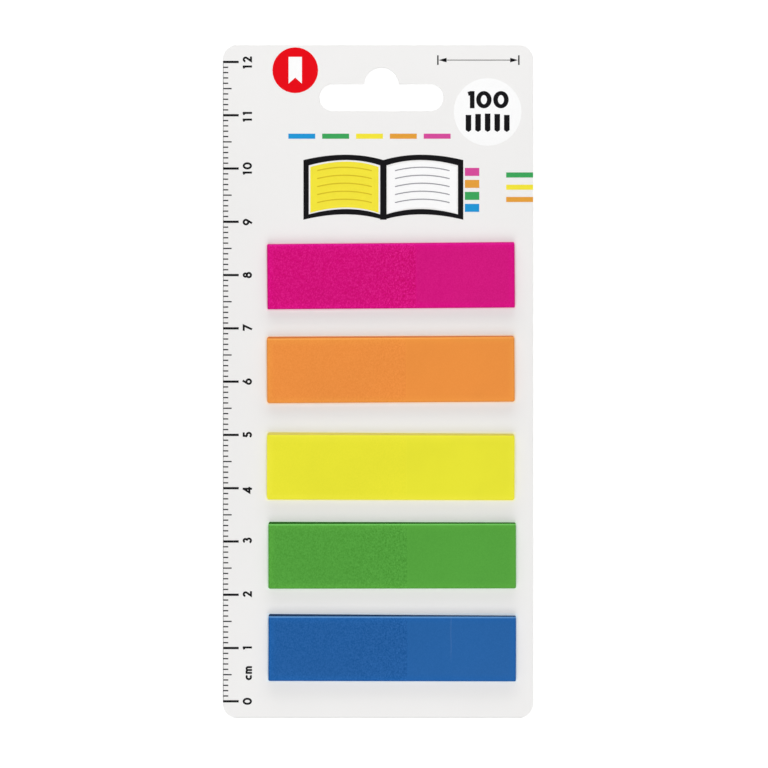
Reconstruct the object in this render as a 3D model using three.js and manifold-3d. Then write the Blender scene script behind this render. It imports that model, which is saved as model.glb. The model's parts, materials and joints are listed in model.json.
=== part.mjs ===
// Sticky index tabs: five pads of plastic film flags on a printed plastic backing card.
//
// Millimetres, +Z up. The card lies flat, its underside on z = 0, its centre on the Z axis,
// its long side along Y and its hang hole at the +Y end. Each pad is twenty film flags stuck
// one on another at their -X end. The ink on the card is a thin raised layer of each colour.

import * as THREE from 'three';
import { mergeVertices } from 'three/addons/utils/BufferGeometryUtils.js';
import Module from 'manifold-3d';

const wasm = await Module();
wasm.setup();

// Driving dimensions: card

const CARD_THICKNESS = 0.4;
const CARD_CORNER_RADIUS = 2.7;
const MARGIN_BELOW_PADS = 6.94;
const MARGIN_LEFT_OF_PADS = 8.425;
const MARGIN_RIGHT_OF_PADS = 3.425;
const ROW_GAP = 5.4;

// Driving dimensions: flags. The adhesive coat stops a little inside the edges of its film.

const FLAG_LENGTH = 46.35;
const FLAG_WIDTH = 12.1;
const FILM_THICKNESS = 0.05;
const ADHESIVE_THICKNESS = 0.015;
const ADHESIVE_INSET = 0.18;
const FLAGS_PER_PAD = 20;
const CUTTING_WANDER = 0.015;

// One row per pad, from the lowest row up. The pads are stuck on by hand: shiftX, shiftY and
// turn (degrees) are what each is off its row. lean (mm) and fan (degrees) are how far its
// lowest flag has slid towards +Y and turned, counted from its top flag.

const PADS = [
	{
		name: 'blue', colour: 0x28609f, stuckLength: 26,
		shiftX: 0.15, shiftY: 0.1, turn: - 0.1, lean: 0.28, fan: - 0.3
	},
	{
		name: 'green', colour: 0x55a23e, stuckLength: 26,
		shiftX: 0.14, shiftY: - 0.05, turn: 0.08, lean: 0.32, fan: - 0.24
	},
	{
		name: 'yellow', colour: 0xe8e338, stuckLength: 26,
		shiftX: - 0.13, shiftY: - 0.95, turn: - 0.15, lean: 0.46, fan: - 0.2
	},
	{
		name: 'orange', colour: 0xeb9143, stuckLength: 26,
		shiftX: - 0.12, shiftY: - 0.19, turn: 0.36, lean: 0.35, fan: - 0.15
	},
	{
		name: 'pink', colour: 0xd3167b, stuckLength: 27.8,
		shiftX: - 0.08, shiftY: - 0.1, turn: 0.41, lean: 0.23, fan: 0.08
	}
];

// Driving dimensions: hang hole, a round-ended slot with a rounded bump in its upper side

const SLOT_LENGTH = 23.3;
const SLOT_HEIGHT = 5.07;
const BUMP_RADIUS = 3.24;
const BUMP_RISE = 3.09;
const HOLE_OFFSET_X = 0.65;
const MARGIN_ABOVE_HOLE = 4.22;

// Driving dimensions: ink. INK_GAP is the bare line between two neighbouring colours.

const INK_HEIGHT = 0.03;
const INK_GAP = 0.3;

// Driving dimensions: ruler printed along the left edge

const CENTIMETRE = 10;
const MILLIMETRES_PER_CENTIMETRE = 10;
const RULER_END_MARGIN = 3.1;
const RULER_LINE_WIDTH = 0.08;
const TICK = {
	centimetre: { length: 2.95, width: 0.42 },
	half: { length: 1.62, width: 0.22 },
	millimetre: { length: 0.98, width: 0.22 }
};

// Driving dimensions: round spots

const WHITE_SPOT_RADIUS = 6.35;
const WHITE_SPOT_FROM_RIGHT = 8.53;
const WHITE_SPOT_BELOW_SLOT = 2.7;
const RED_SPOT_RADIUS = 4.29;
const RED_SPOT_FROM_LEFT = 13.56;
const RED_SPOT_FROM_TOP = 4.7;

// Driving dimensions: coloured strips, one row under the hole and one column at the right edge

const STRIP_LENGTH = 5.05;
const STRIP_WIDTH = 0.95;
const STRIP_GAP = 1.3;
const STRIPS_TO_WHITE_SPOT = 0.6;
const STRIPS_TO_HOLE = 4.23;
const EDGE_STRIP_PITCH = 2.3;

// Driving dimensions: open book with index tabs at its side

const BOOK_HALF_WIDTH = 15;
const BOOK_EDGE_HEIGHT = 11.2;
const BOOK_SWELL = 1;
const BOOK_BORDER = 1;
const BOOK_SPINE_WIDTH = 1.2;
const BOOK_OFFSET_X = -1.5;
const PADS_TO_BOOK = 4.5;
const BOOK_TO_STRIPS = 3;
const BOOK_TAB_LENGTH = 2.7;
const BOOK_TAB_WIDTH = 1.5;
const BOOK_TAB_GAP = 0.75;

// Ink colours

const INK = {
	black: 0x1d1b20,
	white: 0xffffff,
	red: 0xe70112,
	blue: 0x1e96d7,
	green: 0x3ca55a,
	yellow: 0xf5e63c,
	orange: 0xe6a03c,
	pink: 0xd74b9b
};

// Sizes that follow from the driving dimensions

const rowPitch = FLAG_WIDTH + ROW_GAP;
const padFieldHeight = PADS.length * FLAG_WIDTH + ( PADS.length - 1 ) * ROW_GAP;
const bookHeight = BOOK_EDGE_HEIGHT + BOOK_SWELL;
const headerHeight = PADS_TO_BOOK + bookHeight + BOOK_TO_STRIPS + STRIP_WIDTH + STRIPS_TO_HOLE
	+ SLOT_HEIGHT + BUMP_RISE + MARGIN_ABOVE_HOLE;
const cardWidth = MARGIN_LEFT_OF_PADS + FLAG_LENGTH + MARGIN_RIGHT_OF_PADS;
const cardLength = MARGIN_BELOW_PADS + padFieldHeight + headerHeight;
const cardLeft = - cardWidth / 2;
const cardRight = cardWidth / 2;
const cardTop = cardLength / 2;
const cardBottom = - cardLength / 2;

const padCentreX = cardLeft + MARGIN_LEFT_OF_PADS + FLAG_LENGTH / 2;
const lowestPadY = cardBottom + MARGIN_BELOW_PADS + FLAG_WIDTH / 2;
const padFieldTop = cardBottom + MARGIN_BELOW_PADS + padFieldHeight;
const leafPitch = FILM_THICKNESS + ADHESIVE_THICKNESS;

const bookX = padCentreX + BOOK_OFFSET_X;
const bookY = padFieldTop + PADS_TO_BOOK;
const stripRowY = bookY + bookHeight + BOOK_TO_STRIPS + STRIP_WIDTH / 2;
const slotY = stripRowY + STRIP_WIDTH / 2 + STRIPS_TO_HOLE + SLOT_HEIGHT / 2;
const bumpY = slotY + SLOT_HEIGHT / 2 + BUMP_RISE - BUMP_RADIUS;

const whiteSpotX = cardRight - WHITE_SPOT_FROM_RIGHT;
const whiteSpotY = slotY - WHITE_SPOT_BELOW_SLOT;
const redSpotX = cardLeft + RED_SPOT_FROM_LEFT;
const redSpotY = cardTop - RED_SPOT_FROM_TOP;

// Geometry and solids

const ARC_SEGMENTS = 16;

function toSolid( geometry ) {

	const bare = geometry.clone();
	bare.deleteAttribute( 'normal' );
	bare.deleteAttribute( 'uv' );
	const merged = mergeVertices( bare );
	return new wasm.Manifold( new wasm.Mesh( {
		numProp: 3,
		vertProperties: new Float32Array( merged.attributes.position.array ),
		triVerts: new Uint32Array( merged.index.array )
	} ) );

}

function toGeometry( solid ) {

	const mesh = solid.getMesh();
	const geometry = new THREE.BufferGeometry();
	geometry.setAttribute( 'position', new THREE.BufferAttribute( mesh.vertProperties, 3 ) );
	geometry.setIndex( new THREE.BufferAttribute( mesh.triVerts, 1 ) );
	const facets = geometry.toNonIndexed();
	facets.computeVertexNormals();
	return facets;

}

function prism( shape, bottom, top ) {

	const geometry = new THREE.ExtrudeGeometry( shape, {
		depth: top - bottom,
		bevelEnabled: false,
		curveSegments: ARC_SEGMENTS
	} );
	geometry.translate( 0, 0, bottom );
	return geometry;

}

function roundedRectangle( centreX, centreY, width, height, radius ) {

	const left = centreX - width / 2;
	const right = centreX + width / 2;
	const low = centreY - height / 2;
	const high = centreY + height / 2;
	const shape = new THREE.Shape();
	shape.moveTo( left + radius, low );
	shape.lineTo( right - radius, low );
	shape.absarc( right - radius, low + radius, radius, - Math.PI / 2, 0 );
	shape.lineTo( right, high - radius );
	shape.absarc( right - radius, high - radius, radius, 0, Math.PI / 2 );
	shape.lineTo( left + radius, high );
	shape.absarc( left + radius, high - radius, radius, Math.PI / 2, Math.PI );
	shape.lineTo( left, low + radius );
	shape.absarc( left + radius, low + radius, radius, Math.PI, Math.PI * 1.5 );
	return shape;

}

function rectangle( left, low, right, high ) {

	return new THREE.Shape( [
		new THREE.Vector2( left, low ),
		new THREE.Vector2( right, low ),
		new THREE.Vector2( right, high ),
		new THREE.Vector2( left, high )
	] );

}

function disc( centreX, centreY, radius ) {

	const shape = new THREE.Shape();
	shape.absarc( centreX, centreY, radius, 0, Math.PI * 2 );
	return shape;

}

function namedMesh( name, geometry, colour, roughness ) {

	const material = new THREE.MeshStandardMaterial( { color: colour, roughness, metalness: 0 } );
	const mesh = new THREE.Mesh( geometry, material );
	mesh.name = name;
	return mesh;

}

// Backing card: a rounded rectangle with the hang hole cut through

function bumpOutline() {

	const shape = new THREE.Shape();
	shape.moveTo( HOLE_OFFSET_X - BUMP_RADIUS, slotY );
	shape.lineTo( HOLE_OFFSET_X + BUMP_RADIUS, slotY );
	shape.lineTo( HOLE_OFFSET_X + BUMP_RADIUS, bumpY );
	shape.absarc( HOLE_OFFSET_X, bumpY, BUMP_RADIUS, 0, Math.PI );
	return shape;

}

function cardPlate( bottom, top ) {

	const reach = 1;
	const outline = roundedRectangle( 0, 0, cardWidth, cardLength, CARD_CORNER_RADIUS );
	const slot = roundedRectangle( HOLE_OFFSET_X, slotY, SLOT_LENGTH, SLOT_HEIGHT, SLOT_HEIGHT / 2 );
	const hole = toSolid( prism( slot, bottom - reach, top + reach ) )
		.add( toSolid( prism( bumpOutline(), bottom - reach, top + reach ) ) );
	return toSolid( prism( outline, bottom, top ) ).subtract( hole );

}

function backingCard() {

	return namedMesh( 'backing_card', toGeometry( cardPlate( 0, CARD_THICKNESS ) ), 0xf0efed, 0.45 );

}

// Pads of flags: each pad is one body of twenty films joined by their adhesive coats

function leafPlacement( pad, level ) {

	const depth = 1 - level / ( FLAGS_PER_PAD - 1 );
	const wanderX = CUTTING_WANDER * Math.sin( 2.4 * level + pad.turn );
	const wanderY = CUTTING_WANDER * Math.cos( 1.7 * level + pad.lean );
	const placement = new THREE.Matrix4().makeRotationZ( THREE.MathUtils.degToRad( pad.fan * depth ) );
	placement.setPosition( wanderX, pad.lean * depth + wanderY, 0 );
	return placement;

}

function padSolid( pad ) {

	const halfLength = FLAG_LENGTH / 2;
	const halfWidth = FLAG_WIDTH / 2;
	const film = rectangle( - halfLength, - halfWidth, halfLength, halfWidth );
	const coat = rectangle(
		- halfLength + ADHESIVE_INSET,
		- halfWidth + ADHESIVE_INSET,
		- halfLength + pad.stuckLength,
		halfWidth - ADHESIVE_INSET
	);
	const bond = FILM_THICKNESS / 4;
	let solid = null;
	for ( let level = 0; level < FLAGS_PER_PAD; level ++ ) {

		const coatBottom = level * leafPitch;
		const filmBottom = coatBottom + ADHESIVE_THICKNESS;
		const bondBelow = level === 0 ? 0 : bond;
		const placement = leafPlacement( pad, level );
		const pieces = [
			prism( film, filmBottom, filmBottom + FILM_THICKNESS ),
			prism( coat, coatBottom - bondBelow, filmBottom + bond )
		];
		for ( const piece of pieces ) {

			const placed = toSolid( piece.applyMatrix4( placement ) );
			solid = solid === null ? placed : solid.add( placed );

		}

	}

	return solid;

}

function flagPads() {

	const pads = new THREE.Group();
	pads.position.z = CARD_THICKNESS;
	PADS.forEach( ( pad, row ) => {

		const mesh = namedMesh( `flag_pad_${ pad.name }`, toGeometry( padSolid( pad ) ), pad.colour, 0.5 );
		mesh.position.set( padCentreX + pad.shiftX, lowestPadY + row * rowPitch + pad.shiftY, 0 );
		mesh.rotation.z = THREE.MathUtils.degToRad( pad.turn );
		pads.add( mesh );

	} );
	return pads;

}

// Ink on the card: it ends where the card ends, so each field is cut by the card's outline

const printableArea = cardPlate( - INK_HEIGHT, INK_HEIGHT * 2 );

function inkField( name, colour, solid ) {

	return namedMesh( name, toGeometry( solid.intersect( printableArea ) ), INK[ colour ], 0.6 );

}

function flatField( name, colour, shape ) {

	return inkField( name, colour, toSolid( prism( shape, 0, INK_HEIGHT ) ) );

}

function tickKind( millimetre ) {

	if ( millimetre % MILLIMETRES_PER_CENTIMETRE === 0 ) return TICK.centimetre;
	if ( millimetre % ( MILLIMETRES_PER_CENTIMETRE / 2 ) === 0 ) return TICK.half;
	return TICK.millimetre;

}

function rulerScale() {

	const centimetres = Math.floor( ( cardLength - 2 * RULER_END_MARGIN ) / CENTIMETRE );
	const ticks = centimetres * MILLIMETRES_PER_CENTIMETRE;
	const zeroY = - centimetres * CENTIMETRE / 2;
	const points = [];
	for ( let tick = 0; tick <= ticks; tick ++ ) {

		const { length, width } = tickKind( tick );
		const y = zeroY + tick * CENTIMETRE / MILLIMETRES_PER_CENTIMETRE;
		const before = tick === 0 ? 0 : RULER_LINE_WIDTH;
		const after = tick === ticks ? 0 : RULER_LINE_WIDTH;
		points.push(
			new THREE.Vector2( cardLeft + before, y - width / 2 ),
			new THREE.Vector2( cardLeft + length, y - width / 2 ),
			new THREE.Vector2( cardLeft + length, y + width / 2 ),
			new THREE.Vector2( cardLeft + after, y + width / 2 )
		);

	}

	return flatField( 'print_ruler_scale', 'black', new THREE.Shape( points ) );

}

function roundSpots() {

	return [
		flatField( 'print_white_spot', 'white', disc( whiteSpotX, whiteSpotY, WHITE_SPOT_RADIUS ) ),
		flatField( 'print_red_spot', 'red', disc( redSpotX, redSpotY, RED_SPOT_RADIUS ) )
	];

}

function stripRow() {

	const colours = [ 'pink', 'orange', 'yellow', 'green', 'blue' ];
	const rowEnd = whiteSpotX - WHITE_SPOT_RADIUS - STRIPS_TO_WHITE_SPOT;
	return colours.map( ( colour, place ) => {

		const right = rowEnd - place * ( STRIP_LENGTH + STRIP_GAP );
		const low = stripRowY - STRIP_WIDTH / 2;
		const shape = rectangle( right - STRIP_LENGTH, low, right, low + STRIP_WIDTH );
		return flatField( `print_strip_${ colour }`, colour, shape );

	} );

}

function edgeStrips() {

	const colours = [ 'orange', 'yellow', 'green' ];
	const middleY = bookY + bookHeight / 2;
	return colours.map( ( colour, place ) => {

		const low = middleY + ( place - 1 ) * EDGE_STRIP_PITCH - STRIP_WIDTH / 2;
		const shape = rectangle( cardRight - STRIP_LENGTH, low, cardRight, low + STRIP_WIDTH );
		return flatField( `print_edge_strip_${ colour }`, colour, shape );

	} );

}

// Open book: each leaf has straight sides, and its lower and upper edges swell upwards

function bookLeaf( side, inner, outer, low, high ) {

	const shape = new THREE.Shape();
	const inside = bookX + side * inner;
	const outside = bookX + side * outer;
	const crest = bookX + side * ( inner + ( outer - inner ) * 0.45 );
	shape.moveTo( inside, bookY + low );
	shape.quadraticCurveTo( crest, bookY + low + 2 * BOOK_SWELL, outside, bookY + low );
	shape.lineTo( outside, bookY + high );
	shape.quadraticCurveTo( crest, bookY + high + 2 * BOOK_SWELL, inside, bookY + high );
	return toSolid( prism( shape, 0, INK_HEIGHT ) );

}

function openBook() {

	const innerEdge = BOOK_SPINE_WIDTH / 2;
	const outerEdge = BOOK_HALF_WIDTH - BOOK_BORDER;
	const highEdge = BOOK_EDGE_HEIGHT - BOOK_BORDER;
	const spine = rectangle( bookX - innerEdge, bookY, bookX + innerEdge, bookY + BOOK_EDGE_HEIGHT );
	let cover = toSolid( prism( spine, 0, INK_HEIGHT ) );
	const pages = [];
	for ( const [ name, colour, side ] of [ [ 'left', 'yellow', - 1 ], [ 'right', 'white', 1 ] ] ) {

		const board = bookLeaf( side, 0, BOOK_HALF_WIDTH, 0, BOOK_EDGE_HEIGHT );
		const window = bookLeaf( side, innerEdge, outerEdge, BOOK_BORDER, highEdge );
		const page = bookLeaf(
			side,
			innerEdge + INK_GAP,
			outerEdge - INK_GAP,
			BOOK_BORDER + INK_GAP,
			highEdge - INK_GAP
		);
		cover = cover.add( board.subtract( window ) );
		pages.push( inkField( `print_book_page_${ name }`, colour, page ) );

	}

	return [ inkField( 'print_book_cover', 'black', cover ), ...pages ];

}

function bookTabs() {

	const colours = [ 'blue', 'green', 'orange', 'pink' ];
	const left = bookX + BOOK_HALF_WIDTH + INK_GAP;
	const columnHeight = colours.length * BOOK_TAB_WIDTH + ( colours.length - 1 ) * BOOK_TAB_GAP;
	const lowest = bookY + ( BOOK_EDGE_HEIGHT - columnHeight ) / 2;
	return colours.map( ( colour, place ) => {

		const low = lowest + place * ( BOOK_TAB_WIDTH + BOOK_TAB_GAP );
		const shape = rectangle( left, low, left + BOOK_TAB_LENGTH, low + BOOK_TAB_WIDTH );
		return flatField( `print_book_tab_${ colour }`, colour, shape );

	} );

}

function print() {

	const ink = new THREE.Group();
	ink.position.z = CARD_THICKNESS;
	ink.add( rulerScale(), ...roundSpots(), ...stripRow(), ...edgeStrips(), ...openBook(), ...bookTabs() );
	return ink;

}

const indexTabs = new THREE.Group();
indexTabs.add( backingCard(), flagPads(), print() );

export default indexTabs;
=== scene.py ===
import json
import math
import bmesh
import bpy
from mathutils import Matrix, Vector
from mathutils.geometry import tessellate_polygon


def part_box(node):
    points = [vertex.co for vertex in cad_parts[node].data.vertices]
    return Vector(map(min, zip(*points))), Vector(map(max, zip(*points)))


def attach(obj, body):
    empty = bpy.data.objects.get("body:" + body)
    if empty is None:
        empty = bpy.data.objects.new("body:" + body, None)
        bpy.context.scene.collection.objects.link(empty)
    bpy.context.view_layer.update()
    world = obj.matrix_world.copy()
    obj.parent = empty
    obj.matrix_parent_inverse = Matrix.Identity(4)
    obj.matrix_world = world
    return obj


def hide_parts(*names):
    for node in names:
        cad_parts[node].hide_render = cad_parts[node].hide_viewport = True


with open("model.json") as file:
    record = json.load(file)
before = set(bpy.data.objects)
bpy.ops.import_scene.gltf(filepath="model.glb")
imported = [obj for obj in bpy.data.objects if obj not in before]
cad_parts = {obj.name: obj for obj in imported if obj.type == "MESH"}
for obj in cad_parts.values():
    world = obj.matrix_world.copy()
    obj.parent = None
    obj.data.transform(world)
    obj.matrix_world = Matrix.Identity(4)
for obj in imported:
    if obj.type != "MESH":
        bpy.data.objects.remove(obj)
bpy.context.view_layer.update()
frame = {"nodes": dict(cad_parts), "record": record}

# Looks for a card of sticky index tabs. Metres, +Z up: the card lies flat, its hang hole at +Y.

MM = 0.001
BODY = "root"
WHITE = (1, 1, 1, 1)

# Places read from the frame

CARD_LOW, CARD_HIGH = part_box("backing_card")
CARD_TOP = CARD_HIGH.z
INK_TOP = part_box("print_white_spot")[1].z
PAD_COLOURS = ("pink", "orange", "yellow", "green", "blue")

# Card: corners and hang hole as in the CAD model, and its edges' rounding, which only the looks have

CORNER_RADIUS = 2.7 * MM
SLOT_LENGTH = 23.3 * MM
SLOT_HEIGHT = 5.07 * MM
BUMP_RADIUS = 3.24 * MM
BUMP_RISE = 3.09 * MM
HOLE_OFFSET_X = 0.65 * MM
MARGIN_ABOVE_HOLE = 4.22 * MM
EDGE_ROUNDING = 0.06 * MM
EDGE_SUPPORT = 0.02 * MM

# Flags: film and adhesive, as in the CAD model

FLAGS_PER_PAD = 20
FILM_THICKNESS = 0.05 * MM
ADHESIVE_THICKNESS = 0.015 * MM
FILM_PITCH = FILM_THICKNESS + ADHESIVE_THICKNESS
ADHESIVE_INSET = 0.18 * MM
STUCK_LENGTH = dict.fromkeys(PAD_COLOURS, 26 * MM) | {"pink": 27.8 * MM}
LEVEL_TOLERANCE = 0.002 * MM

# Flags: what only the looks have. The lowest film stands proud of the others and is painted pale,
# a painted halo of light round each pad.

FLAG_CORNER = {
    "pink": 0.2 * MM, "orange": 0.4 * MM, "yellow": 0.45 * MM, "green": 0.3 * MM, "blue": 0.25 * MM,
}
FREE_END_LIFT = 0.03 * MM
HALO_FOOT_MARGIN = 0.28 * MM
HALO_FOOT_TOP = CARD_TOP + FILM_PITCH + LEVEL_TOLERANCE

# Films' colour: widths of the bands along the edges and at the coat's end. Where there are two,
# a band is full up to the first and gone at the second.

RIM_BAND = 1.6 * MM
CUT_BAND = (0.1 * MM, 0.3 * MM)
GLINT_BAND = (0.1 * MM, 0.38 * MM)
SLIVER_BLUR = 0.02 * MM
COAT_END_BLUR = 0.1 * MM
COAT_END_BAND = 0.16 * MM
COAT_END_SHIFT = 0.12 * MM
MOTTLING_RISE = 14 * MM
SCRATCHED_PAD = "blue"
SCRATCH_X = 11 * MM
SCRATCH_LOW_Y = -3 * MM

# Ruler numerals: the ruler runs up the left edge and its numerals lie on their side. Strokes and
# spacings are shares of the height.

CENTIMETRE = 10 * MM
NUMERAL_HEIGHT = 1.74 * MM
NUMERAL_STROKE = 0.215
NUMERAL_SPACING = {"10": 0.24, "11": 0.38, "12": 0.33, "cm": 0.08}
NUMERAL_SHIFTS = {
    "12": -0.1 * MM, "11": -0.3 * MM, "9": -0.06 * MM, "7": 0.12 * MM,
    "4": -0.37 * MM, "3": 0.18 * MM, "2": 0.12 * MM,
}
NUMERAL_BASE_FROM_LEFT = 5.44 * MM
UNIT_MARK_Y = -54.72 * MM
FINE_INK = 0.02 * MM

# The count of flags, on the white spot

COUNT = "100"
COUNT_HEIGHT = 3.23 * MM
COUNT_STROKE = 0.23
COUNT_SPACING = 0.08
COUNT_STRETCH = 1.18
COUNT_SHIFT_X = 0.1 * MM
COUNT_BASE_RISE = 0.7 * MM

# Camera: it looks straight down, and the picture is one field wide at the card's upper face

SENSOR_WIDTH = 36
CAMERA_HEIGHT = 0.6
FIELD_WIDTH = 144.15 * MM
FIELD_CENTRE = (1.12 * MM, -0.445 * MM)


# Nodes and materials

def srgb(red, green, blue):
    """Linear colour of an 8-bit sRGB colour."""
    def linear(value):
        value /= 255
        return value / 12.92 if value <= 0.04045 else ((value + 0.055) / 1.055) ** 2.4
    return (linear(red), linear(green), linear(blue), 1)


class Nodes:
    """Short calls for building the node tree of a material or a world."""

    def __init__(self, owner):
        owner.use_nodes = True
        self.tree = owner.node_tree

    def add(self, kind, **settings):
        node = self.tree.nodes.new(kind)
        for name, value in settings.items():
            setattr(node, name, value)
        return node

    def link(self, source, target):
        self.tree.links.new(source, target)

    def put(self, value, target):
        if isinstance(value, bpy.types.NodeSocket):
            self.link(value, target)
        else:
            target.default_value = value

    def math(self, operation, first, second=0.0):
        node = self.add("ShaderNodeMath", operation=operation)
        self.put(first, node.inputs[0])
        self.put(second, node.inputs[1])
        return node.outputs[0]

    def vector(self, operation, *values):
        node = self.add("ShaderNodeVectorMath", operation=operation)
        for value, socket in zip(values, node.inputs):
            self.put(value, socket)
        return node.outputs["Vector"]

    def spread(self, value, low, high, to_low, to_high):
        """Maps low..high to to_low..to_high with a soft step."""
        node = self.add("ShaderNodeMapRange", interpolation_type="SMOOTHSTEP")
        self.put(value, node.inputs["Value"])
        node.inputs["From Min"].default_value = low
        node.inputs["From Max"].default_value = high
        node.inputs["To Min"].default_value = to_low
        node.inputs["To Max"].default_value = to_high
        return node.outputs["Result"]

    def mix(self, factor, first, second):
        node = self.add("ShaderNodeMix", data_type="RGBA")
        self.put(factor, node.inputs["Factor"])
        self.put(first, node.inputs["A"])
        self.put(second, node.inputs["B"])
        return node.outputs["Result"]

    def seen_ray(self):
        """1 for a ray from the camera or on from a glossy or clear surface, 0 for any other ray."""
        path = self.add("ShaderNodeLightPath").outputs
        sent_on = self.math("MAXIMUM", path["Is Glossy Ray"], path["Is Transmission Ray"])
        return self.math("MAXIMUM", path["Is Camera Ray"], sent_on)


class MaterialNodes(Nodes):
    """A new material, and short calls for building its node tree."""

    def __init__(self, name):
        self.material = bpy.data.materials.new(name)
        super().__init__(self.material)
        self.shader = self.tree.nodes["Principled BSDF"]

    def coordinates(self):
        return self.add("ShaderNodeTexCoord").outputs["Object"]

    def axes(self):
        split = self.add("ShaderNodeSeparateXYZ")
        self.link(self.coordinates(), split.inputs["Vector"])
        return split.outputs

    def noise(self, scale_mm, detail=2.0, roughness=0.5, stretch=(1, 1, 1)):
        """Noise from 0 to 1 whose blotches are about scale_mm across."""
        mapping = self.add("ShaderNodeMapping")
        self.link(self.coordinates(), mapping.inputs["Vector"])
        mapping.inputs["Scale"].default_value = [share / (scale_mm * MM) for share in stretch]
        noise = self.add("ShaderNodeTexNoise")
        self.link(mapping.outputs["Vector"], noise.inputs["Vector"])
        noise.inputs["Scale"].default_value = 1
        noise.inputs["Detail"].default_value = detail
        noise.inputs["Roughness"].default_value = roughness
        return noise.outputs["Fac"]

    def bump(self, height, distance_mm, strength):
        node = self.add("ShaderNodeBump")
        node.inputs["Strength"].default_value = strength
        node.inputs["Distance"].default_value = distance_mm * MM
        self.put(height, node.inputs["Height"])
        self.link(node.outputs["Normal"], self.shader.inputs["Normal"])

    def finish(self, colour, roughness):
        """The material, with its colour and roughness on the shader."""
        self.put(colour, self.shader.inputs["Base Color"])
        self.put(roughness, self.shader.inputs["Roughness"])
        return self.material


def shade(colour, factor):
    """The same colour, lighter or darker."""
    return tuple(min(1, channel * factor) for channel in colour[:3]) + (1,)


def card_material():
    """Frosted pale plastic sheet: fine matt grain, faint cloudiness, and painted shade at its lowest cut.
    """
    nodes = MaterialNodes("frosted_card")
    pale = srgb(243, 242, 241)
    cloud = nodes.noise(14, detail=3)
    grain = nodes.noise(0.25, detail=3, roughness=0.6)
    colour = nodes.mix(cloud, shade(pale, 0.985), shade(pale, 1.012))
    # Painted shade: the card is painted darker within 0.35 mm of its lowest cut edge.
    to_shaded_cut = nodes.math("SUBTRACT", nodes.axes()[1], CARD_LOW.y)
    colour = nodes.mix(nodes.spread(to_shaded_cut, 0.1 * MM, 0.35 * MM, 1, 0), colour, shade(pale, 0.88))
    nodes.shader.inputs["IOR"].default_value = 1.49
    nodes.bump(grain, 0.01, 0.25)
    return nodes.finish(colour, nodes.spread(grain, 0.2, 0.8, 0.42, 0.52))


def ink_material(name, colour):
    """Printed ink: very slightly uneven in tone and gloss."""
    nodes = MaterialNodes(name)
    tone = nodes.noise(1.6, detail=3)
    grain = nodes.noise(0.18, detail=2)
    nodes.shader.inputs["Specular IOR Level"].default_value = 0.2
    nodes.bump(grain, 0.006, 0.2)
    uneven = nodes.mix(tone, shade(colour, 0.96), shade(colour, 1.04))
    return nodes.finish(uneven, nodes.spread(grain, 0.2, 0.8, 0.44, 0.56))


# Film tones. rim is painted light: a glow along the films' edges. The line along the +Y edge is a
# painted highlight. sliver is what shows of the lower films beyond it, painted dark as shade on green
# and blue. foot is the lowest film, painted pale as a halo of light round the pad. cut is how much
# darker the other edges are, and grain how far the mottling moves each channel.

FILM_TONES = {
    "pink": {
        "stuck": srgb(213, 4, 122), "free": srgb(212, 17, 126), "rim": srgb(222, 5, 133),
        "painted_glint": srgb(231, 26, 152), "sliver": srgb(240, 50, 160), "foot": srgb(255, 238, 243),
        "cut": 0.8, "grain": (0.49, 0.08, 0.34),
    },
    "orange": {
        "stuck": srgb(239, 144, 64), "free": srgb(239, 146, 64), "rim": srgb(243, 153, 67),
        "painted_glint": srgb(255, 172, 84), "sliver": srgb(246, 154, 84), "foot": srgb(255, 243, 226),
        "cut": 0.5, "grain": (0.17, 0.13, 0.045),
    },
    "yellow": {
        "stuck": srgb(236, 231, 50), "free": srgb(235, 231, 51), "rim": srgb(241, 235, 58),
        "painted_glint": srgb(245, 240, 62), "sliver": srgb(250, 236, 130), "foot": srgb(253, 251, 228),
        "cut": 0.1, "grain": (0.1, 0.06, 0.015),
    },
    "green": {
        "stuck": srgb(80, 158, 57), "free": srgb(83, 162, 59), "rim": srgb(88, 169, 61),
        "painted_glint": srgb(116, 204, 96), "sliver": srgb(54, 118, 41), "foot": srgb(244, 255, 244),
        "cut": 0.65, "grain": (0.11, 0.31, 0.075),
    },
    "blue": {
        "stuck": srgb(26, 91, 159), "free": srgb(31, 96, 164), "rim": srgb(24, 97, 171),
        "painted_glint": srgb(92, 148, 206), "sliver": srgb(46, 72, 108), "foot": srgb(240, 250, 255),
        "cut": 0.65, "grain": (0.045, 0.12, 0.27),
    },
}


def scratched(nodes, colour, x, y):
    """The colour with a faint pale scratch from the +Y edge down to SCRATCH_LOW_Y."""
    waver = nodes.spread(nodes.noise(5), 0.3, 0.7, SCRATCH_X - 0.06 * MM, SCRATCH_X + 0.06 * MM)
    off = nodes.math("ABSOLUTE", nodes.math("SUBTRACT", x, waver))
    reach = nodes.spread(y, SCRATCH_LOW_Y, SCRATCH_LOW_Y + 3 * MM, 0, 1)
    line = nodes.math("MULTIPLY", nodes.spread(off, 0.04 * MM, 0.18 * MM, 0.02, 0), reach)
    return nodes.mix(line, colour, WHITE)


def mottling(nodes, x, coat_end):
    """Fine speckle about 0. It is strong over the adhesive, most of all towards the coat's end."""
    near_end = nodes.spread(x, coat_end - MOTTLING_RISE, coat_end, 0.78, 1.2)
    mottled = nodes.spread(x, coat_end - COAT_END_BLUR, coat_end + COAT_END_BLUR, 1, 0.25)
    fine_cloud = nodes.noise(0.3, detail=2, roughness=0.55, stretch=(1.25, 1, 1))
    speckle = nodes.math("SUBTRACT", fine_cloud, 0.5)
    return nodes.math("MULTIPLY", speckle, nodes.math("MULTIPLY", mottled, near_end))


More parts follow.
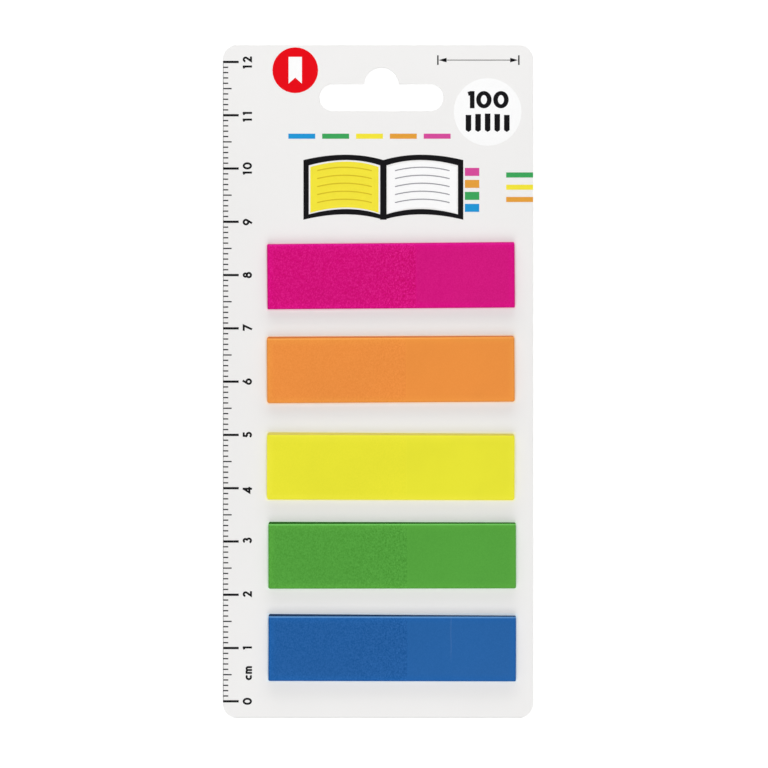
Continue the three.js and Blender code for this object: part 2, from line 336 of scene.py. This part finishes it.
def edged(nodes, colour, tones, x, y, length, width):
    """The colour with a painted glow at the rim, darker cut edges, a painted highlight line and the
    sliver.
    """
    to_side = nodes.math("SUBTRACT", width / 2, nodes.math("ABSOLUTE", y))
    to_end = nodes.math("SUBTRACT", length / 2, nodes.math("ABSOLUTE", x))
    to_edge = nodes.math("MINIMUM", to_side, to_end)
    to_near_side = nodes.math("SUBTRACT", width / 2, y)
    to_far_edges = nodes.math("MINIMUM", nodes.math("ADD", width / 2, y), to_end)
    # Painted glow: the film is painted lighter within RIM_BAND of its edges.
    colour = nodes.mix(nodes.spread(to_edge, 0, RIM_BAND, 0.85, 0), colour, tones["rim"])
    cut_line = nodes.spread(to_far_edges, *CUT_BAND, tones["cut"], 0)
    colour = nodes.mix(cut_line, colour, shade(tones["rim"], 0.72))
    # Painted highlight: a light line along the top film's +Y edge.
    colour = nodes.mix(nodes.spread(to_near_side, *GLINT_BAND, 1, 0), colour, tones["painted_glint"])
    # Beyond the +Y edge, the lower films' sliver; on green and blue its tone is painted shade.
    return nodes.mix(nodes.spread(to_near_side, -SLIVER_BLUR, 0, 1, 0), colour, tones["sliver"])


def film_material(name, length, width):
    """Translucent film. Over its adhesive it is mottled, more so towards the coat's end."""
    tones = FILM_TONES[name]
    nodes = MaterialNodes(f"film_{name}")
    x, y, z = nodes.axes()
    coat_end = STUCK_LENGTH[name] - length / 2
    over_coat = nodes.spread(x, coat_end - COAT_END_BLUR, coat_end + COAT_END_BLUR, 1, 0)
    to_coat_end = nodes.math("ABSOLUTE", nodes.math("SUBTRACT", x, coat_end + COAT_END_SHIFT))
    speckle = mottling(nodes, x, coat_end)

    colour = nodes.mix(over_coat, tones["free"], tones["stuck"])
    colour = nodes.mix(nodes.spread(to_coat_end, 0, COAT_END_BAND, 0.35, 0), colour, tones["rim"])
    colour = edged(nodes, colour, tones, x, y, length, width)
    if name == SCRATCHED_PAD:
        colour = scratched(nodes, colour, x, y)
    drift = nodes.spread(nodes.noise(9, detail=2), 0.3, 0.7, 0.985, 1.015)
    colour = nodes.vector("MULTIPLY", colour, drift)
    colour = nodes.vector("MULTIPLY_ADD", speckle, tones["grain"], colour)
    colour = nodes.vector("MAXIMUM", colour, (0, 0, 0))
    # Painted halo: the lowest film is painted pale, as light glowing round the pad.
    colour = nodes.mix(nodes.math("LESS_THAN", z, HALO_FOOT_TOP), colour, tones["foot"])

    fine = nodes.noise(0.12, detail=2)
    rough = nodes.spread(fine, 0.2, 0.8, 0.30, 0.38)
    rough = nodes.math("ADD", rough, nodes.math("MULTIPLY", over_coat, 0.05))
    nodes.shader.inputs["Specular IOR Level"].default_value = 0.2
    nodes.bump(nodes.math("ADD", speckle, nodes.math("MULTIPLY", fine, 0.1)), 0.01, 0.35)
    return nodes.finish(colour, rough)


def film_edge_material(name):
    """Cut edges of the films: light from inside the film makes them deeper in colour."""
    nodes = MaterialNodes(f"film_edge_{name}")
    tone = shade(FILM_TONES[name]["rim"], 0.86)
    streak = nodes.noise(0.9, detail=2, stretch=(1, 1, 12))
    colour = nodes.mix(streak, shade(tone, 0.85), shade(tone, 1.12))
    # Painted halo: the lowest film's cut edges take its pale tone too.
    on_halo_foot = nodes.math("LESS_THAN", nodes.axes()[2], HALO_FOOT_TOP)
    colour = nodes.mix(on_halo_foot, colour, FILM_TONES[name]["foot"])
    return nodes.finish(colour, nodes.spread(streak, 0.2, 0.8, 0.38, 0.55))


def adhesive_material():
    """Cloudy clear adhesive, seen only at the pads' edges."""
    nodes = MaterialNodes("adhesive")
    cloud = nodes.noise(0.6, detail=2)
    colour = nodes.mix(cloud, srgb(196, 192, 184), srgb(214, 210, 203))
    return nodes.finish(colour, nodes.spread(cloud, 0.2, 0.8, 0.35, 0.5))


# Objects and meshes

def add_object(name, data):
    """A new object in the scene."""
    item = bpy.data.objects.new(name, data)
    bpy.context.scene.collection.objects.link(item)
    return item


def mesh_data(name, mesh):
    """Mesh data from a bmesh, which is freed."""
    data = bpy.data.meshes.new(name)
    mesh.to_mesh(data)
    mesh.free()
    return data


def new_piece(name, mesh, materials, replaced=()):
    """A piece of the object, with its materials and the CAD nodes it replaces."""
    bmesh.ops.recalc_face_normals(mesh, faces=mesh.faces)
    piece = add_object(name, mesh_data(name, mesh))
    for material in materials:
        piece.data.materials.append(material)
    if replaced:
        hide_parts(*replaced)
    return piece


def ring_of_faces(mesh, first, second, smooth=False, material=0):
    """Quads between two loops of vertices of the same length."""
    count = len(first)
    for index in range(count):
        after = (index + 1) % count
        face = mesh.faces.new((first[index], first[after], second[after], second[index]))
        face.smooth = smooth
        face.material_index = material


def fill_faces(mesh, loops, upwards):
    """Flat triangles between an outer loop of vertices and the loops of its holes."""
    flat = [vertex for loop in loops for vertex in loop]
    triangles = tessellate_polygon([[vertex.co for vertex in loop] for loop in loops])
    for triangle in triangles:
        corners = [flat[index] for index in triangle]
        face = mesh.faces.new(corners)
        face.normal_update()
        if (face.normal.z > 0) != upwards:
            face.normal_flip()


def plate(mesh, outline, bottom, top, holes=()):
    """A flat plate with straight sides."""
    loops = [outline, *holes]
    low = [[mesh.verts.new((x, y, bottom)) for x, y in loop] for loop in loops]
    high = [[mesh.verts.new((x, y, top)) for x, y in loop] for loop in loops]
    for below, above in zip(low, high):
        ring_of_faces(mesh, below, above)
    fill_faces(mesh, high, True)
    fill_faces(mesh, low, False)


def rectangle(low_x, low_y, high_x, high_y):
    return [(low_x, low_y), (high_x, low_y), (high_x, high_y), (low_x, high_y)]


def arc(centre_x, centre_y, radius, start, end, steps):
    """Points on an arc, in degrees, both ends included."""
    points = []
    for step in range(steps + 1):
        angle = math.radians(start + (end - start) * step / steps)
        points.append((centre_x + radius * math.cos(angle), centre_y + radius * math.sin(angle)))
    return points


def ring(centre_x, centre_y, radius_x, radius_y, steps=40):
    """Points round an ellipse, the first one not repeated."""
    points = []
    for step in range(steps):
        angle = math.tau * step / steps
        points.append((centre_x + radius_x * math.cos(angle), centre_y + radius_y * math.sin(angle)))
    return points


def ribbon_sides(points, width, closed):
    """Left and right side points of a flat stroke along a path, with mitred joints."""
    left, right = [], []
    count = len(points)
    for index in range(count):
        here = Vector(points[index])
        before = Vector(points[index - 1]) if closed or index > 0 else None
        after = Vector(points[(index + 1) % count]) if closed or index < count - 1 else None
        into = (here - before).normalized() if before else (after - here).normalized()
        out = (after - here).normalized() if after else into
        side_in, side_out = Vector((-into.y, into.x)), Vector((-out.y, out.x))
        mitre = (side_in + side_out).normalized()
        reach = width / 2 / max(0.4, mitre.dot(side_in))
        left.append(tuple(here + mitre * reach))
        right.append(tuple(here - mitre * reach))
    return left, right


def enclosed_area(points):
    following = points[1:] + points[:1]
    return abs(sum(here[0] * after[1] - after[0] * here[1] for here, after in zip(points, following))) / 2


def stroke(mesh, points, width, bottom, top, closed=False):
    """A flat stroke of ink along a path."""
    left, right = ribbon_sides(points, width, closed)
    if closed:
        outer, inner = sorted((left, right), key=enclosed_area, reverse=True)
        plate(mesh, outer, bottom, top, [inner])
    else:
        plate(mesh, left + right[::-1], bottom, top)


def united(meshes):
    """One closed mesh from several that overlap."""
    base = add_object("union_base", meshes[0])
    others = [add_object("union_other", mesh) for mesh in meshes[1:]]
    for other in others:
        modifier = base.modifiers.new("join", "BOOLEAN")
        modifier.operation = "UNION"
        modifier.solver = "EXACT"
        modifier.object = other
    graph = bpy.context.evaluated_depsgraph_get()
    result = bpy.data.meshes.new_from_object(base.evaluated_get(graph))
    for item in [base, *others]:
        bpy.data.objects.remove(item)
    return result


# Card

def card_outline(inset):
    """The card's outline, taken in by inset."""
    radius = CORNER_RADIUS - inset
    points = []
    for x, y, start in (
        (CARD_HIGH.x, CARD_HIGH.y, 0), (CARD_LOW.x, CARD_HIGH.y, 90),
        (CARD_LOW.x, CARD_LOW.y, 180), (CARD_HIGH.x, CARD_LOW.y, 270),
    ):
        centre_x = x - math.copysign(CORNER_RADIUS, x)
        centre_y = y - math.copysign(CORNER_RADIUS, y)
        points += arc(centre_x, centre_y, radius, start, start + 90, 20)
    return points


def hole_outline(grow):
    """The hang hole's outline, widened by grow: a round-ended slot with a bump in its upper side."""
    slot_top = CARD_HIGH.y - MARGIN_ABOVE_HOLE - BUMP_RISE
    slot_y = slot_top - SLOT_HEIGHT / 2
    bump_y = slot_top + BUMP_RISE - BUMP_RADIUS
    end_x = SLOT_LENGTH / 2 - SLOT_HEIGHT / 2
    end_radius = SLOT_HEIGHT / 2 + grow
    bump_radius = BUMP_RADIUS + grow
    foot = math.degrees(math.asin((slot_top + grow - bump_y) / bump_radius))
    points = arc(HOLE_OFFSET_X - end_x, slot_y, end_radius, 90, 270, 28)
    points += arc(HOLE_OFFSET_X + end_x, slot_y, end_radius, -90, 90, 28)
    points += arc(HOLE_OFFSET_X, bump_y, bump_radius, foot, 180 - foot, 36)
    return points


def edge_profile():
    """Inset and height of the card's cut edge, from its lower face to its upper face."""
    steps = 4
    quarter = []
    for step in range(steps + 1):
        angle = math.pi / 2 * step / steps
        quarter.append((EDGE_ROUNDING * (1 - math.sin(angle)), EDGE_ROUNDING * (1 - math.cos(angle))))
    lower = [(inset, CARD_LOW.z + rise) for inset, rise in quarter]
    upper = [(inset, CARD_TOP - rise) for inset, rise in reversed(quarter)]
    flat_inset = EDGE_ROUNDING + EDGE_SUPPORT
    return [(flat_inset, CARD_LOW.z), *lower, *upper, (flat_inset, CARD_TOP)]


def make_card(material):
    """Die-cut sheet whose upper and lower edges are slightly rounded."""
    mesh = bmesh.new()
    profile = edge_profile()
    outer = [[mesh.verts.new((x, y, z)) for x, y in card_outline(inset)] for inset, z in profile]
    inner = [[mesh.verts.new((x, y, z)) for x, y in hole_outline(inset)] for inset, z in profile]
    for rings in (outer, inner):
        for below, above in zip(rings, rings[1:]):
            ring_of_faces(mesh, below, above, smooth=True)
    fill_faces(mesh, [outer[-1], inner[-1]], True)
    fill_faces(mesh, [outer[0], inner[0]], False)
    card = new_piece("card_sheet", mesh, [material], ["backing_card"])
    card.data.set_sharp_from_angle(angle=math.radians(40))
    return card


# Pads of flags: a pad's materials are those of its films, of their cut edges and of the adhesive

FILM_EDGE_INDEX = 1
ADHESIVE_INDEX = 2


def flag_corners(node, z):
    """Outermost four corners of a pad's vertices at height z, anticlockwise from low x and low y."""
    level = [v.co for v in frame["nodes"][node].data.vertices if abs(v.co.z - z) < LEVEL_TOLERANCE]
    return [
        min(level, key=lambda p: p.x + p.y), max(level, key=lambda p: p.x - p.y),
        max(level, key=lambda p: p.x + p.y), min(level, key=lambda p: p.x - p.y),
    ]


def make_pad(name, adhesive):
    """Twenty films, each where its CAD film lies, with the free ends a hair apart."""
    node = f"flag_pad_{name}"
    top = flag_corners(node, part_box(node)[1].z)
    centre = sum(top, Vector()) / 4
    along = (top[1] - top[0] + top[2] - top[3]) / 2
    turn = math.atan2(along.y, along.x)
    length = along.length
    width = ((top[3] - top[0]).length + (top[2] - top[1]).length) / 2
    cos, sin = math.cos(-turn), math.sin(-turn)

    def local(point):
        x, y = point.x - centre.x, point.y - centre.y
        return Vector((x * cos - y * sin, x * sin + y * cos))

    mesh = bmesh.new()
    film_tops = [CARD_TOP + (level + 1) * FILM_PITCH for level in range(FLAGS_PER_PAD)]
    layers = [[local(corner) for corner in flag_corners(node, film_top)] for film_top in film_tops]
    stuck = STUCK_LENGTH[name]
    for level, (film_top, corners) in enumerate(zip(film_tops, layers)):
        lift = FREE_END_LIFT * (level / (FLAGS_PER_PAD - 1)) ** 2
        film_corners = foot_corners(layers) if level == 0 else corners
        add_film(mesh, film_corners, film_top, lift, stuck, FLAG_CORNER[name])
        add_coat(mesh, corners, film_top, stuck / length, length, width)
    materials = [film_material(name, length, width), film_edge_material(name), adhesive]
    pad = new_piece(f"flag_pad_{name}_films", mesh, materials, [node])
    pad.location = (centre.x, centre.y, 0)
    pad.rotation_euler = (0, 0, turn)
    return pad


def between(corners, u, v):
    """The point that lies at share u of a film's length and share v of its width."""
    low = corners[0].lerp(corners[1], u)
    high = corners[3].lerp(corners[2], u)
    return low.lerp(high, v)


def foot_corners(layers):
    """Corners of the lowest film, which stands proud of all the films above it to carry the painted halo.
    """
    xs = [corner.x for corners in layers for corner in corners]
    ys = [corner.y for corners in layers for corner in corners]
    low_x, high_x = min(xs) - HALO_FOOT_MARGIN, max(xs) + HALO_FOOT_MARGIN
    low_y, high_y = min(ys) - HALO_FOOT_MARGIN, max(ys) + HALO_FOOT_MARGIN / 2
    return [Vector(spot) for spot in rectangle(low_x, low_y, high_x, high_y)]


def film_stations(length, radius):
    """Places along a film, and how far its rounded corners take its sides in at each."""
    corner_steps, body_steps = 4, 16
    angles = [math.pi / 2 * step / corner_steps for step in range(corner_steps + 1)]
    bend = [(radius * (1 - math.cos(angle)), radius * (1 - math.sin(angle))) for angle in angles]
    straight = length - 2 * radius
    body = [(radius + straight * step / body_steps, 0) for step in range(1, body_steps)]
    return bend + body + [(length - place, inset) for place, inset in reversed(bend)]


def add_film(mesh, corners, film_top, lift, stuck, radius):
    """One film: a thin sheet with rounded corners, rising by lift at its free end."""
    length = (corners[1] - corners[0]).length
    width = (corners[3] - corners[0]).length
    rims = []
    for z in (film_top - FILM_THICKNESS, film_top):
        low_side, high_side = [], []
        for place, inset in film_stations(length, radius):
            free = max(0, (place - stuck) / (length - stuck))
            for side, v in ((low_side, inset / width), (high_side, 1 - inset / width)):
                point = between(corners, place / length, v)
                side.append(mesh.verts.new((point.x, point.y, z + lift * free ** 2)))
        for index in range(len(low_side) - 1):
            mesh.faces.new((low_side[index], low_side[index + 1], high_side[index + 1], high_side[index]))
        rims.append(low_side + high_side[::-1])
    ring_of_faces(mesh, *rims, material=FILM_EDGE_INDEX)


def add_coat(mesh, corners, film_top, share, length, width):
    """The adhesive under one film, a little inside its edges."""
    inset_u, inset_v = ADHESIVE_INSET / length, ADHESIVE_INSET / width
    coat_top = film_top - FILM_THICKNESS
    points = [between(corners, u, v) for u, v in rectangle(inset_u, inset_v, share, 1 - inset_v)]
    low = [mesh.verts.new((point.x, point.y, coat_top - ADHESIVE_THICKNESS)) for point in points]
    high = [mesh.verts.new((point.x, point.y, coat_top)) for point in points]
    for corner_vertices in (low[::-1], high):
        mesh.faces.new(corner_vertices).material_index = ADHESIVE_INDEX
    ring_of_faces(mesh, low, high, material=ADHESIVE_INDEX)


# Numerals

def glyph_strokes(character, weight):
    """A glyph's strokes, as (path, is it closed), at a cap height of 1, and the glyph's width."""
    low, high = weight / 2, 1 - weight / 2
    x_height = 0.69
    if character == "0":
        return [(ring(0.38, 0.5, 0.38 - low, 0.5 - low), True)], 0.76
    if character == "1":
        stem = 0.34 - low
        return [([(stem, 0), (stem, 1)], False), ([(0.02, 0.84), (stem, high)], False)], 0.34
    if character == "2":
        radius = 0.31 - low
        bowl = arc(0.32, high - radius, radius, 175, -38, 22)
        return [(bowl + [(0.17, low), (0.64, low)], False)], 0.66
    if character == "3":
        upper, lower = (high - low) * 0.22, (high - low) * 0.28
        top = arc(0.31, high - upper, upper, 160, -90, 18)
        bottom = arc(0.31, low + lower, lower, 90, -160, 22)
        return [(top, False), (bottom, False)], 0.64
    if character == "4":
        return [([(0.50, 0), (0.50, 1)], False), ([(0.50, 0.90), (0.10, 0.28), (0.70, 0.28)], False)], 0.70
    if character == "5":
        radius = 0.33 - low
        bowl = arc(0.34, low + radius, radius, 128, -155, 24)
        return [([(0.61, high), (0.24, high), bowl[0]], False), (bowl, False)], 0.68
    if character == "6":
        radius = 0.35 - low
        joint = math.radians(148)
        start = (0.35 + radius * math.cos(joint), low + radius + radius * math.sin(joint))
        return [(ring(0.35, low + radius, radius, radius), True), ([start, (0.47, 1)], False)], 0.70
    if character == "7":
        return [([(0.0, high), (0.58, high), (0.16, 0)], False)], 0.68
    if character == "8":
        upper, lower = (high - low) * 0.225, (high - low) * 0.29
        top = ring(0.33, high - upper, upper, upper)
        bottom = ring(0.33, low + lower, lower, lower)
        return [(top, True), (bottom, True)], 0.66
    if character == "9":
        six, width = glyph_strokes("6", weight)
        return [([(width - x, 1 - y) for x, y in points], closed) for points, closed in six], width
    if character == "c":
        radius = x_height / 2 - low
        return [(arc(x_height / 2, x_height / 2, radius, 45, 315, 24), False)], 0.60
    if character == "m":
        radius = 0.155
        strokes = [([(low, 0), (low, x_height)], False)]
        for place in range(2):
            centre = low + radius + place * 2 * radius
            arch = arc(centre, x_height - low - radius, radius, 180, 0, 12)
            strokes.append((arch + [(centre + radius, 0)], False))
        return strokes, 2 * low + 4 * radius
    raise ValueError(character)


GLYPHS = {}


def glyph(character, weight):
    """The glyph's closed mesh, with cap height and thickness 1, and its width."""
    key = (character, weight)
    if key not in GLYPHS:
        strokes, width = glyph_strokes(character, weight)
        meshes = []
        for points, closed in strokes:
            mesh = bmesh.new()
            stroke(mesh, points, weight, 0, 1, closed)
            bmesh.ops.recalc_face_normals(mesh, faces=mesh.faces)
            meshes.append(mesh_data("stroke", mesh))
        GLYPHS[key] = (united(meshes), width)
    return GLYPHS[key]


def write_glyphs(mesh, text, centre, height, weight, bottom, turned, spacing, stretch=1):
    """Adds text centred at a point. Turned text runs towards +Y with its glyphs' tops towards -X."""
    glyphs = [glyph(character, weight) for character in text]
    total = sum(width for _, width in glyphs) + spacing * (len(glyphs) - 1)
    pen = -total / 2
    for source, width in glyphs:
        first = len(mesh.verts)
        mesh.from_mesh(source)
        mesh.verts.ensure_lookup_table()
        for vertex in mesh.verts[first:]:
            along = (pen + vertex.co.x) * height * stretch
            up = vertex.co.y * height
            z = bottom + vertex.co.z * FINE_INK
            if turned:
                vertex.co = (centre[0] - up, centre[1] + along, z)
            else:
                vertex.co = (centre[0] + along, centre[1] + up, z)
        pen += width + spacing


def make_ruler_numerals(material):
    """A numeral at each centimetre of the ruler, and its unit."""
    mesh = bmesh.new()
    ruler_low, ruler_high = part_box("print_ruler_scale")
    centimetres = round((ruler_high.y - ruler_low.y) / CENTIMETRE)
    middle = (ruler_low.y + ruler_high.y) / 2
    base_x = CARD_LOW.x + NUMERAL_BASE_FROM_LEFT
    marks = [("cm", UNIT_MARK_Y)]
    for number in range(centimetres + 1):
        marks.append((str(number), middle + (number - centimetres / 2) * CENTIMETRE))
    for text, y in marks:
        place = (base_x, y + NUMERAL_SHIFTS.get(text, 0))
        spacing = NUMERAL_SPACING.get(text, 0)
        write_glyphs(mesh, text, place, NUMERAL_HEIGHT, NUMERAL_STROKE, CARD_TOP, True, spacing)
    return new_piece("ruler_numerals", mesh, [material])


# Fine print in the header

def middle_of(node):
    """The middle of a CAD node's box, seen from above."""
    low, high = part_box(node)
    return (low.x + high.x) / 2, (low.y + high.y) / 2


def make_count_number(material):
    """The number of flags, on the white spot."""
    mesh = bmesh.new()
    x, y = middle_of("print_white_spot")
    place = (x + COUNT_SHIFT_X, y + COUNT_BASE_RISE)
    write_glyphs(
        mesh, COUNT, place, COUNT_HEIGHT, COUNT_STROKE, INK_TOP,
        turned=False, spacing=COUNT_SPACING, stretch=COUNT_STRETCH,
    )
    return new_piece("count_number", mesh, [material])


def make_count_flags(material):
    """Five small upright flags under the number, the middle ones a little taller."""
    mesh = bmesh.new()
    middle_x, middle_y = middle_of("print_white_spot")
    flag_width, flag_gap, notch = 1.05 * MM, 0.75 * MM, 0.35 * MM
    foot, head = middle_y - 3.75 * MM, middle_y - 0.55 * MM
    rises = (0, 0.18 * MM, 0.26 * MM, 0.18 * MM, 0)
    for place, rise in enumerate(rises):
        x = middle_x + (place - len(rises) // 2) * (flag_width + flag_gap)
        left, right = x - flag_width / 2, x + flag_width / 2
        outline = [
            (left, foot + notch), (x, foot), (right, foot + notch),
            (right, head + rise), (left, head + rise),
        ]
        plate(mesh, outline, INK_TOP, INK_TOP + FINE_INK)
    return new_piece("count_flags", mesh, [material])


def make_red_spot_flag(material):
    """A plain white index flag on the red spot."""
    mesh = bmesh.new()
    x, y = middle_of("print_red_spot")
    half, tall, notch = 1.25 * MM, 2.5 * MM, 1.1 * MM
    left, right, foot, head = x - half, x + half, y - tall, y + tall
    outline = [(left, foot), (x, foot + notch), (right, foot), (right, head), (left, head)]
    plate(mesh, outline, INK_TOP, INK_TOP + FINE_INK)
    return new_piece("red_spot_flag", mesh, [material])


def make_length_mark(material):
    """A plain dimension line with an arrowhead and an end bar at each end."""
    mesh = bmesh.new()
    x, y, half = 18.83 * MM, 60.35 * MM, 7.6 * MM
    line, bar, head, head_half = 0.13 * MM, 0.9 * MM, 1.5 * MM, 0.42 * MM
    outlines = []
    for side in (-1, 1):
        end = x + side * half
        tip = end - side * line
        barb = tip - side * head
        outlines.append(rectangle(end - line, y - bar, end + line, y + bar))
        outlines.append([(tip, y), (barb, y + head_half), (barb, y - head_half)])
    reach = half - head
    outlines.append(rectangle(x - reach, y - line / 2, x + reach, y + line / 2))
    for outline in outlines:
        plate(mesh, outline, CARD_TOP, CARD_TOP + FINE_INK)
    return new_piece("length_mark", mesh, [material])


def make_page_lines(name, node, material):
    """Ruled lines that follow the page's swell."""
    mesh = bmesh.new()
    low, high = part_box(node)
    inner, outer = (low.x, high.x) if node.endswith("right") else (high.x, low.x)
    lines, steps = 5, 16
    swell, margin, width, rise = 1.0 * MM, 1.3 * MM, 0.2 * MM, 0.25 * MM
    side_margin = 0.1
    edge_height = high.y - low.y - swell
    for line in range(lines):
        y = low.y + margin + rise + line * (edge_height - 2 * margin) / (lines - 1)
        points = []
        for step in range(steps + 1):
            share = side_margin + (1 - 2 * side_margin) * step / steps
            bend = 4 * swell * share * (1 - share)
            points.append((inner + (outer - inner) * share, y + bend))
        stroke(mesh, points, width, INK_TOP, INK_TOP + FINE_INK)
    return new_piece(name, mesh, [material])


# Light, floor and camera

def make_world(strength):
    """Light from all around. The camera sees it as plain white."""
    world = bpy.data.worlds.new("studio")
    bpy.context.scene.world = world
    nodes = Nodes(world)
    background = nodes.tree.nodes["Background"]
    background.inputs["Color"].default_value = WHITE
    nodes.put(nodes.spread(nodes.seen_ray(), 0, 1, strength, 1), background.inputs["Strength"])


def square_sheet(name, half, height, material):
    """A flat square sheet round the origin."""
    mesh = bmesh.new()
    mesh.faces.new([mesh.verts.new((x, y, height)) for x, y in rectangle(-half, -half, half, half)])
    sheet = add_object(name, mesh_data(name, mesh))
    sheet.data.materials.append(material)
    return sheet


def make_floor():
    """A pale floor that reads as white to the camera and still takes the object's shadow."""
    nodes = MaterialNodes("floor_white")
    material = nodes.finish((0.8, 0.8, 0.8, 1), 0.9)
    nodes.shader.inputs["Specular IOR Level"].default_value = 0.1
    glow = nodes.add("ShaderNodeEmission")
    glow.inputs["Color"].default_value = WHITE
    nodes.put(nodes.math("MULTIPLY", nodes.seen_ray(), 0.3), glow.inputs["Strength"])
    both = nodes.add("ShaderNodeAddShader")
    nodes.link(nodes.shader.outputs["BSDF"], both.inputs[0])
    nodes.link(glow.outputs["Emission"], both.inputs[1])
    nodes.link(both.outputs["Shader"], nodes.tree.nodes["Material Output"].inputs["Surface"])
    floor = square_sheet("floor", 1.5, CARD_LOW.z - 0.02 * MM, material)


def make_black_flag():
    """A black sheet above the camera, so that the ceiling isn't mirrored in the flat films."""
    material = MaterialNodes("black_cloth").finish((0.01, 0.01, 0.01, 1), 1)
    flag = square_sheet("black_flag", 0.75, 0.9, material)


def area_lamp(name, place, target, size, power, mirrored=False):
    """An area lamp. The films mirror it only if mirrored is set."""
    data = bpy.data.lights.new(name, "AREA")
    data.shape = "RECTANGLE"
    data.size, data.size_y = size
    data.energy = power
    lamp = add_object(name, data)
    lamp.location = place
    lamp.rotation_euler = (Vector(target) - Vector(place)).to_track_quat("-Z", "Y").to_euler()
    lamp.visible_glossy = mirrored


def make_lights():
    """Soft light from above and in front, and weaker light at the card's two ends."""
    middle = (0, 0, 0)
    area_lamp("overhead", place=(0, 0, 0.8), target=middle, size=(0.5, 0.5), power=3.04)
    area_lamp("front", place=(0, -0.45, 0.58), target=middle, size=(0.6, 0.6), power=2.36, mirrored=True)
    area_lamp("near_front", place=(0, -0.17, 0.1), target=(0, -0.03, 0), size=(0.25, 0.08), power=0.03)
    area_lamp("back", place=(0, 0.16, 0.09), target=(0, 0.03, 0), size=(0.25, 0.09), power=0.065)
    area_lamp("far_back", place=(0, 0.6, 0.2), target=middle, size=(0.8, 0.2), power=1.2)


def make_camera():
    """A camera that looks straight down."""
    data = bpy.data.cameras.new("camera")
    data.sensor_width = SENSOR_WIDTH
    data.lens = SENSOR_WIDTH * CAMERA_HEIGHT / FIELD_WIDTH
    data.clip_start, data.clip_end = 0.01, 10
    camera = add_object("camera", data)
    camera.location = (*FIELD_CENTRE, CARD_TOP + CAMERA_HEIGHT)
    bpy.context.scene.camera = camera


# The object

INKS = {
    "black": srgb(12, 11, 14),
    "white": srgb(255, 255, 255),
    "red": srgb(231, 1, 18),
    "blue": srgb(30, 150, 215),
    "green": srgb(60, 165, 90),
    "yellow": srgb(245, 230, 60),
    "orange": srgb(230, 160, 60),
    "pink": srgb(215, 75, 155),
    "grey": srgb(150, 150, 156),
    "ochre": srgb(214, 190, 40),
}


def dress_cad_print(inks):
    """The CAD model's ink fields stay, with a printed finish."""
    slots = {row["node"]: row["material_slot"] for row in frame["record"]["subparts"]}
    for name, node in frame["nodes"].items():
        if name.startswith("print_"):
            node.material_slots[0].material = inks[slots[name].removeprefix("ink_")]


def make_object():
    """Every piece of the object that the looks add or replace. All of them ride on the one body."""
    inks = {name: ink_material(f"ink_{name}", colour) for name, colour in INKS.items()}
    dress_cad_print(inks)
    pieces = [make_card(card_material())]
    adhesive = adhesive_material()
    pieces += [make_pad(name, adhesive) for name in PAD_COLOURS]
    pieces.append(make_ruler_numerals(inks["black"]))
    pieces.append(make_count_number(inks["black"]))
    pieces.append(make_count_flags(inks["black"]))
    pieces.append(make_red_spot_flag(inks["white"]))
    pieces.append(make_length_mark(inks["black"]))
    pieces.append(make_page_lines("page_lines_left", "print_book_page_left", inks["ochre"]))
    pieces.append(make_page_lines("page_lines_right", "print_book_page_right", inks["grey"]))
    for piece in pieces:
        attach(piece, BODY)


make_object()
make_floor()
make_black_flag()
make_world(strength=0.12)
make_lights()
make_camera()
bpy.context.scene.view_settings.view_transform = "Standard"
